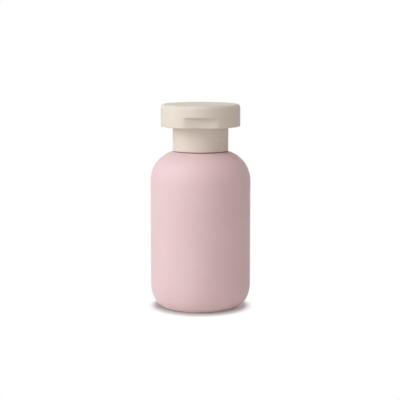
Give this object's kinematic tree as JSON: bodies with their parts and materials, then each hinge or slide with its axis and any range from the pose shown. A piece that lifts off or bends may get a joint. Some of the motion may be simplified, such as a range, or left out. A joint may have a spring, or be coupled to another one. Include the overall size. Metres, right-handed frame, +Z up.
{
  "type": "travel bottle",
  "caption": "Small round travel bottle with a soft shoulder, a screw-on collar cap, a pour plug and a wide flip-top lid on a butterfly hinge.",
  "frame": {"origin": "centre of the bottle's base, on the plane that it stands on", "axes": "+Z up along the bottle's axis, -Y towards the front with the thumb recess, +Y towards the hinge, +X to the right seen from the front"},
  "size_m": [0.048, 0.048, 0.098],
  "materials": {
    "bottle": "satin blow-moulded polyethylene, pale pink, fine grain",
    "plug": "waxy natural low-density polyethylene",
    "seal": "soft light-grey sealing ring",
    "cap": "matte injection-moulded polypropylene, cream",
    "lid": "matte injection-moulded polypropylene, cream",
    "hinge": "flexed polypropylene film of the same moulding, cream"
  },
  "bodies": {
    "bottle_body": {"bottle": "bottle", "neck_plug": "plug"},
    "seal_body": {"sealing_ring": "seal"},
    "cap_body": {"cap_base": "cap", "hinge_film": "hinge", "hinge_strap_left": "hinge", "hinge_strap_right": "hinge"},
    "lid_body": {"flip_lid": "lid"}
  },
  "joints": [
    {"name": "cap_rise", "type": "slide", "parent": "bottle_body", "child": "seal_body", "axis": [0, 0, 1], "range_m": [0, 0.0128]},
    {"name": "cap_unscrew", "type": "hinge", "parent": "seal_body", "child": "cap_body", "pos_m": [0, 0, 0.0758], "axis": [0, 0, 1], "range_deg": [0, 1440]},
    {"name": "lid_hinge", "type": "hinge", "parent": "cap_body", "child": "lid_body", "pos_m": [0, 0.0185, 0.0889], "axis": [-1, 0, 0], "range_deg": [0, 130], "deforming": ["hinge_film", "hinge_strap_left", "hinge_strap_right"]}
  ],
  "couplings": [
    {"joint": "cap_rise", "follows": "cap_unscrew", "m_per_rad": 0.000506}
  ]
}
